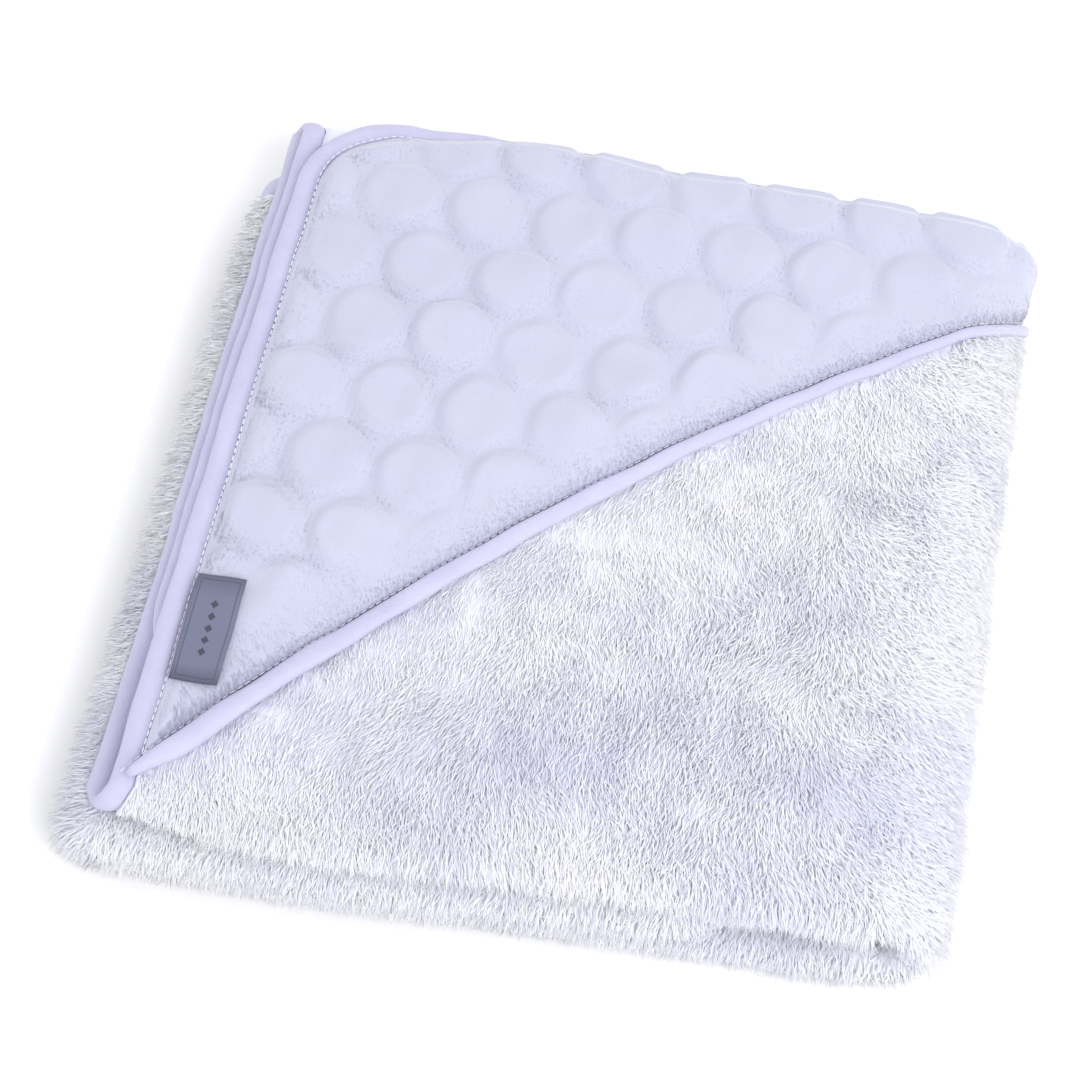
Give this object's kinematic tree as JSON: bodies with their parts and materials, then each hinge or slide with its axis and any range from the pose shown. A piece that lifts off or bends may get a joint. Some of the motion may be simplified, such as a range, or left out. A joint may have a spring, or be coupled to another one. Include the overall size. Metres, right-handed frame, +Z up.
{
  "type": "hooded baby towel",
  "caption": "Square plush baby towel folded into a flat package, with an embossed velour hood triangle, satin edge binding and a small woven side label.",
  "frame": {"origin": "middle of the folded package's footprint, on the surface that it lies on", "axes": "+Z up out of the hood side, +Y to the back edge where the hood's corner is bound, +X to the right fold that the top third opens about"},
  "size_m": [0.2762, 0.2758, 0.0484],
  "materials": {
    "plush": "long soft plush pile, matt, with a slight lilac cast",
    "velour": "short velour pile embossed with raised bubbles",
    "satin": "smooth satin tape with a soft gloss",
    "woven_label": "fine grey-lilac satin weave",
    "thread": "fine twisted sewing thread"
  },
  "bodies": {
    "lower_thirds": {"towel_bottom_third": "plush", "towel_tucked_third": "plush", "left_fold": "plush", "left_fold_binding": "satin", "bottom_edge_binding": "satin", "tucked_edge_binding": "satin", "right_fold": "plush", "right_fold_binding": "satin"},
    "top_third": {"towel_top_third": "plush", "hood_panel": "velour", "hood_edge_binding": "satin", "top_edge_binding": "satin", "hood_edge_thread": "thread", "edge_binding_thread": "thread"},
    "label": {"side_label": "woven_label"}
  },
  "joints": [
    {"name": "open_top_third", "type": "hinge", "parent": "lower_thirds", "child": "top_third", "pos_m": [0.12153, 0, 0.024], "axis": [0, 1, 0], "range_deg": [0, 179], "deforming": ["right_fold", "right_fold_binding"]},
    {"name": "flip_label", "type": "hinge", "parent": "top_third", "child": "label", "pos_m": [-0.11048, -0.06889, 0.0468], "axis": [0, -1, 0], "range_deg": [0, 165]}
  ]
}
